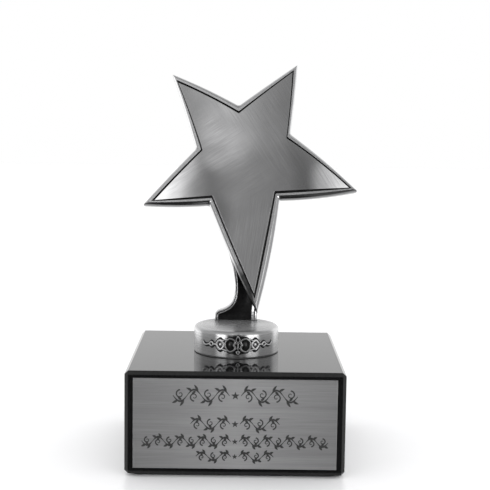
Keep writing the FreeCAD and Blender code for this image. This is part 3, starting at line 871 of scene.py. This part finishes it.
def make_drum():
    """The drum: a top that falls a little outwards, a round edge, a wall and the cavity inside."""
    edge = DRUM_EDGE_RADIUS
    profile = [(AXIS_RADIUS, DRUM_TOP), (8.0, DRUM_TOP), (15.5, DRUM_TOP - 0.02)]
    profile += [(17.2, DRUM_TOP - 0.08), (DRUM_RADIUS - edge - 0.3, DRUM_TOP - 0.2)]
    for k in range(1, DRUM_EDGE_STEPS + 1):
        turn = math.radians(6.0 + 84.0 * k / DRUM_EDGE_STEPS)
        profile.append((
            DRUM_RADIUS - edge + edge * math.sin(turn),
            DRUM_TOP - 0.22 - edge + edge * math.cos(turn),
        ))
    profile += [(DRUM_RADIUS, DRUM_TOP - 4.0), (DRUM_RADIUS, DRUM_BOTTOM + 4.0)]
    profile += [(DRUM_RADIUS, DRUM_BOTTOM + 0.5), (DRUM_RADIUS, DRUM_BOTTOM + 0.12)]
    profile += [(DRUM_RADIUS - 0.12, DRUM_BOTTOM), (CAVITY_RADIUS, DRUM_BOTTOM)]
    ceiling = DRUM_TOP - ROOF_THICKNESS
    profile += [(CAVITY_RADIUS, ceiling), (BOSS_RADIUS, ceiling), (BOSS_RADIUS, DRUM_BOTTOM)]
    hole_top = DRUM_BOTTOM + STUD_HOLE_DEPTH
    profile += [(STUD_HOLE_RADIUS, DRUM_BOTTOM), (STUD_HOLE_RADIUS, hole_top), (AXIS_RADIUS, hole_top)]
    return lathe("drum_casting", profile, DRUM_STEPS, [drum_silver])


drum = make_drum()
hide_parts("drum")
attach(drum, "root")


def on_drum(along, up, out):
    """A point over the drum's wall, mm: along and up from the ornament's middle."""
    turn = ORNAMENT_TURN + along / DRUM_RADIUS
    radius = DRUM_RADIUS + out
    return (radius * math.sin(turn), -radius * math.cos(turn), ORNAMENT_Z + up)


def wire(path, radii, closed):
    """Vertices and faces of a round wire laid along the drum through (along, up) points."""
    verts, faces = [], []
    total = len(path)
    for i, p in enumerate(path):
        before = path[i - 1] if closed or i else path[0]
        after = path[(i + 1) % total] if closed or i < total - 1 else path[-1]
        run = (after - before).normalized()
        side = Vector((-run.y, run.x))
        radius = radii[i] if isinstance(radii, list) else radii
        for k in range(WIRE_SIDES):
            turn = 2 * math.pi * k / WIRE_SIDES
            q = p + side * radius * math.cos(turn)
            verts.append(on_drum(q.x, q.y, WIRE_STAND_OFF + WIRE_RELIEF * math.sin(turn)))
    rows = total if closed else total - 1
    for i in range(rows):
        faces += ring_faces(i * WIRE_SIDES, ((i + 1) % total) * WIRE_SIDES, WIRE_SIDES)
    if not closed:
        faces.append(tuple(range(WIRE_SIDES)))
        faces.append(tuple(range((total - 1) * WIRE_SIDES, total * WIRE_SIDES)))
    return verts, faces


def loop(points, steps):
    """A closed smooth curve through 2-D points."""
    total = len(points)
    result = []
    for i in range(total):
        p0, p1, p2, p3 = (Vector(points[(i + j) % total]) for j in (-1, 0, 1, 2))
        result += [spline_point(p0, p1, p2, p3, k / steps) for k in range(steps)]
    return result


def diamond_loop(width, height):
    """A diamond with round corners and slightly bowed sides, from its half width and half height."""
    m = DIAMOND_SIDE
    return loop([
        (width, 0), (width * m, height * m), (0, height), (-width * m, height * m),
        (-width, 0), (-width * m, -height * m), (0, -height), (width * m, -height * m),
    ], 5)


BIG_CELL = [
    (-2.5, 0.0), (-2.2, 1.6), (-0.5, 3.1), (1.5, 2.5), (2.1, 1.2), (1.5, 0.0), (2.1, -1.2),
    (1.5, -2.5), (-0.5, -3.1), (-2.2, -1.6),
]


def make_filigree():
    """The ornament's wires and knobs, with the dark backing under them: patina, and in the halo round the
    middle also painted dark reflection.
    """
    verts, faces, mats = [], [], []

    def add(part, mat=0):
        start = len(verts)
        verts.extend(part[0])
        faces.extend(tuple(start + i for i in face) for face in part[1])
        mats.extend([mat] * len(part[1]))

    def moved(path, along, up=0.0, mirror=1.0):
        return [Vector((along + mirror * p.x, up + p.y)) for p in path]

    def backing(path, along, up, grow, mirror=1.0):
        """A thin dark sheet of patina under an outline; the wide halo round the middle is painted dark
        reflection as well.
        """
        points, quads = [], []
        count = len(path)
        for ring in range(BACKING_RINGS):
            share = grow * (1.0 - ring / BACKING_RINGS)
            shrunk = moved([p * share for p in path], along, up, mirror)
            points += [on_drum(p.x, p.y, BACKING_RELIEF) for p in shrunk]
        for ring in range(BACKING_RINGS - 1):
            quads += ring_faces(ring * count, (ring + 1) * count, count)
        points.append(on_drum(along, up, BACKING_RELIEF))
        inner, middle = (BACKING_RINGS - 1) * count, BACKING_RINGS * count
        quads += [(inner + i, inner + (i + 1) % count, middle) for i in range(count)]
        add((points, quads), 1)

    def knob(along, up, radius, out):
        """A small ball set on the wires."""
        points, quads = [], []
        rows, steps = 6, 10
        for i in range(rows):
            tilt = math.pi * (i + 0.5) / rows
            for k in range(steps):
                turn = 2 * math.pi * k / steps
                r = radius * math.sin(tilt)
                points.append(on_drum(along + r * math.cos(turn), up + r * math.sin(turn),
                                      out + radius * math.cos(tilt)))
        for i in range(rows - 1):
            quads += ring_faces(i * steps, (i + 1) * steps, steps)
        quads += [tuple(range(steps)), tuple(range((rows - 1) * steps, rows * steps))]
        add((points, quads))

    big = loop(BIG_CELL, 6)
    medium, small = diamond_loop(1.85, 2.2), diamond_loop(0.98, 0.98)
    for side in (-1.0, 1.0):
        backing(big, side * BIG_PLACE, 0.0, 1.3, -side)
        backing(medium, side * MEDIUM_PLACE, 0.0, 1.66)
        backing(small, side * SMALL_PLACE, 0.0, 2.1)
        add(wire(moved(big, side * BIG_PLACE, 0.0, -side), 0.46, True), 2)
        add(wire(moved(medium, side * MEDIUM_PLACE), 0.62, True))
        add(wire(moved(small, side * SMALL_PLACE), 0.46, True))
        link = [Vector((side * a, 0.0)) for a in (10.3, 11.0, 11.6, 12.3)]
        add(wire(link, [0.66, 0.5, 0.5, 0.6], False))
        tail = smooth_path([(14.1, 0.0), (15.2, -0.5), (16.4, -0.75), (17.6, -0.35), (18.5, 0.75)], 5)
        tail = [Vector((side * p.x, p.y)) for p in tail]
        add(wire(tail, [0.48 - 0.2 * i / len(tail) for i in range(len(tail))], False))
        tail_backing = [[Vector((p.x, p.y + lift)) for p in tail] for lift in (1.0, -1.0)]
        strip = [on_drum(p.x, p.y, BACKING_RELIEF) for row in tail_backing for p in row]
        add((strip, ring_faces(0, len(tail), len(tail), False)), 1)
        for up in (2.55, -2.5):
            knob(side * 6.15, up, 0.66, 0.2)
            arm = smooth_path([(4.9, up * 1.12), (5.6, up * 1.02), (6.9, up * 0.88), (7.8, up * 0.72)], 4)
            add(wire([Vector((side * p.x, p.y)) for p in arm], 0.36, False))
        curl = smooth_path([(0.25, 0.95), (1.0, 0.85), (1.5, 0.2), (1.35, -0.45), (0.85, -0.35)], 5)
        add(wire([Vector((side * p.x, p.y)) for p in curl], 0.24, False), 2)
        foot = smooth_path([(0.2, -0.9), (0.9, -1.7), (1.9, -2.5)], 5)
        add(wire([Vector((side * p.x, p.y)) for p in foot], 0.26, False), 2)
        knob(side * 0.75, -3.2, 0.4, 0.25)
    leaf = loop([
        (0, 4.45), (0.55, 3.4), (0.95, 2.55), (0.5, 1.7),
        (0, 1.25), (-0.5, 1.7), (-0.95, 2.55), (-0.55, 3.4),
    ], 4)
    # the wide halo round the middle: patina and painted dark reflection
    halo = loop([(6.5, 0), (5.6, 2.9), (2.6, 4.1), (0, 4.5), (-2.6, 4.1), (-5.6, 2.9), (-6.5, 0),
                 (-5.6, -2.9), (-2.6, -4.1), (0, -4.6), (2.6, -4.1), (5.6, -2.9)], 5)
    backing(halo, 0.0, 0.0, 1.0)
    backing([p - Vector((0, 2.6)) for p in leaf], 0.0, 2.6, 1.35)
    add(wire(leaf, 0.3, True), 2)
    spine = [Vector((0.0, z)) for z in (1.3, 0.6, -0.3, -1.2, -2.1, -2.8)]
    add(wire(spine, [0.3, 0.42, 0.34, 0.4, 0.3, 0.3], False), 2)
    drop = diamond_loop(0.6, 0.75)
    backing(drop, 0.0, -3.45, 1.8)
    add(wire(moved(drop, 0.0, -3.5), 0.26, True))
    return mesh_object("filigree", verts, faces, [filigree_silver, patina, darker_silver], mats)


def make_beads():
    """Domed beads in the big and the medium cells."""
    verts, faces, mats = [], [], []
    rows, steps = 7, 20
    for side in (-1.0, 1.0):
        for along, width, height, out, mat in BEADS:
            start = len(verts)
            for i in range(rows + 1):
                tilt = math.radians(90.0 * i / rows)
                for k in range(steps):
                    turn = 2 * math.pi * k / steps
                    verts.append(on_drum(
                        side * along + width * math.sin(tilt) * math.cos(turn),
                        height * math.sin(tilt) * math.sin(turn),
                        out * math.cos(tilt),
                    ))
            for i in range(rows):
                band = ring_faces(start + i * steps, start + (i + 1) * steps, steps)
                faces += band
                mats += [mat] * len(band)
    return mesh_object("filigree_beads_domed", verts, faces, [filigree_silver, dark_bead], mats)


filigree = make_filigree()
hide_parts("filigree_band")
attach(filigree, "root")
beads = make_beads()
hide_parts("filigree_beads")
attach(beads, "root")


# Materials of the CAD nodes that are not replaced
NODE_MATERIALS = {
    "base_block": black_stone, "base_felt": felt, "nameplate_tape": film, "drum_gasket": rubber,
    "star_face_adhesive": film, "clamp_stud": zinc, "clamp_washer": zinc, "lock_washer": zinc,
    "clamp_nut": zinc, "star_screws": zinc, "foot_screws": zinc,
}
for node, material in NODE_MATERIALS.items():
    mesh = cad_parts[node].data
    mesh.materials.clear()
    mesh.materials.append(material)


# Stage


def make_floor():
    """A plain white floor that the polished surfaces don't reflect."""
    bpy.ops.mesh.primitive_plane_add(size=6.0, location=(0, 0, 0))
    floor = bpy.context.object
    floor.name = "floor"
    material = grained("floor_white", 0.88, 0.92, 0.0, 0.3, 0.36, 6.0, 0.0)
    floor.data.materials.append(material)
    floor.visible_glossy = False


def make_world():
    """Bands of light for reflections, even light for matt surfaces and plain white behind."""
    world = bpy.data.worlds.new("studio")
    bpy.context.scene.world = world
    world.use_nodes = True
    tree = world.node_tree
    tree.nodes.clear()
    new, link = tree.nodes.new, tree.links.new
    coord = new("ShaderNodeTexCoord")
    split = new("ShaderNodeSeparateXYZ")
    link(coord.outputs["Generated"], split.inputs[0])
    back = new("ShaderNodeMath")
    back.operation = "MULTIPLY"
    back.inputs[1].default_value = -1.0
    link(split.outputs["Y"], back.inputs[0])
    angle = new("ShaderNodeMath")
    angle.operation = "ARCTAN2"
    link(split.outputs["X"], angle.inputs[0])
    link(back.outputs[0], angle.inputs[1])
    turn = new("ShaderNodeMath")
    turn.operation = "MULTIPLY_ADD"
    turn.inputs[1].default_value = 0.5 / math.pi
    turn.inputs[2].default_value = 0.5
    link(angle.outputs[0], turn.inputs[0])

    def around(stops):
        """Light that changes with the direction round the object."""
        band = ramp(tree, stops, 180.0)
        link(turn.outputs[0], band.inputs[0])
        return band.outputs["Color"]

    lift = new("ShaderNodeMath")
    lift.operation = "ARCSINE"
    link(split.outputs["Z"], lift.inputs[0])
    norm = new("ShaderNodeMath")
    norm.operation = "MULTIPLY_ADD"
    norm.inputs[1].default_value = 1.0 / math.pi
    norm.inputs[2].default_value = 0.5
    link(lift.outputs[0], norm.inputs[0])

    def layered(below, above, start, end):
        """Goes from one colour to the other between two elevations, in degrees."""
        share = ramp(tree, [(start, 0.0), (end, 1.0)], 90.0)
        link(norm.outputs[0], share.inputs[0])
        both = new("ShaderNodeMix")
        both.data_type = "RGBA"
        link(share.outputs["Color"], both.inputs["Factor"])
        for source, name in ((below, "A"), (above, "B")):
            if isinstance(source, float):
                both.inputs[name].default_value = (source, source, source, 1.0)
            else:
                link(source, both.inputs[name])
        return both.outputs["Result"]

    sky = NADIR_LIGHT
    for stops, start, end in LIGHT_LAYERS:
        sky = layered(sky, around(stops), start, end)
    studio = new("ShaderNodeBackground")
    link(sky, studio.inputs["Color"])
    plain = new("ShaderNodeBackground")
    plain.inputs["Color"].default_value = (1.0, 1.0, 1.0, 1.0)
    path = new("ShaderNodeLightPath")
    lamps = new("ShaderNodeBackground")
    lamps.inputs["Color"].default_value = (LAMP_LIGHT, LAMP_LIGHT, LAMP_LIGHT, 1.0)
    soft = new("ShaderNodeMixShader")
    link(path.outputs["Is Diffuse Ray"], soft.inputs["Fac"])
    link(studio.outputs[0], soft.inputs[1])
    link(lamps.outputs[0], soft.inputs[2])
    pick = new("ShaderNodeMixShader")
    link(path.outputs["Is Camera Ray"], pick.inputs["Fac"])
    link(soft.outputs[0], pick.inputs[1])
    link(plain.outputs[0], pick.inputs[2])
    out = new("ShaderNodeOutputWorld")
    link(pick.outputs[0], out.inputs["Surface"])


def ramp(tree, stops, full):
    """A grey colour ramp through (place, value) stops, where places run from -full to full."""
    node = tree.nodes.new("ShaderNodeValToRGB")
    elements = node.color_ramp.elements
    while len(elements) > 1:
        elements.remove(elements[-1])
    for i, (place, value) in enumerate(stops):
        position = (place / full + 1.0) / 2.0
        element = elements[0] if i == 0 else elements.new(position)
        element.position = position
        element.color = (value, value, value, 1.0)
    return node


def make_camera():
    """The camera, from its place and its pitch down, yaw and roll."""
    data = bpy.data.cameras.new("camera")
    data.sensor_width = 36.0
    data.lens = CAMERA_LENS
    data.clip_start = 0.01
    camera = bpy.data.objects.new("camera", data)
    bpy.context.scene.collection.objects.link(camera)
    pitch, yaw, roll = (math.radians(a) for a in (CAMERA_PITCH, CAMERA_YAW, CAMERA_ROLL))
    right = Vector((math.cos(yaw), math.sin(yaw), 0.0))
    level = Vector((-math.sin(yaw), math.cos(yaw), 0.0))
    forward = level * math.cos(pitch) - Vector((0, 0, math.sin(pitch)))
    up = level * math.sin(pitch) + Vector((0, 0, math.cos(pitch)))
    side = right * math.cos(roll) + up * math.sin(roll)
    top = up * math.cos(roll) - right * math.sin(roll)
    turn = Matrix((side, top, -forward)).transposed()
    camera.matrix_world = Matrix.Translation(CAMERA_PLACE) @ turn.to_4x4()
    bpy.context.scene.camera = camera


make_floor()
make_world()
make_camera()
bpy.context.scene.view_settings.view_transform = "Standard"
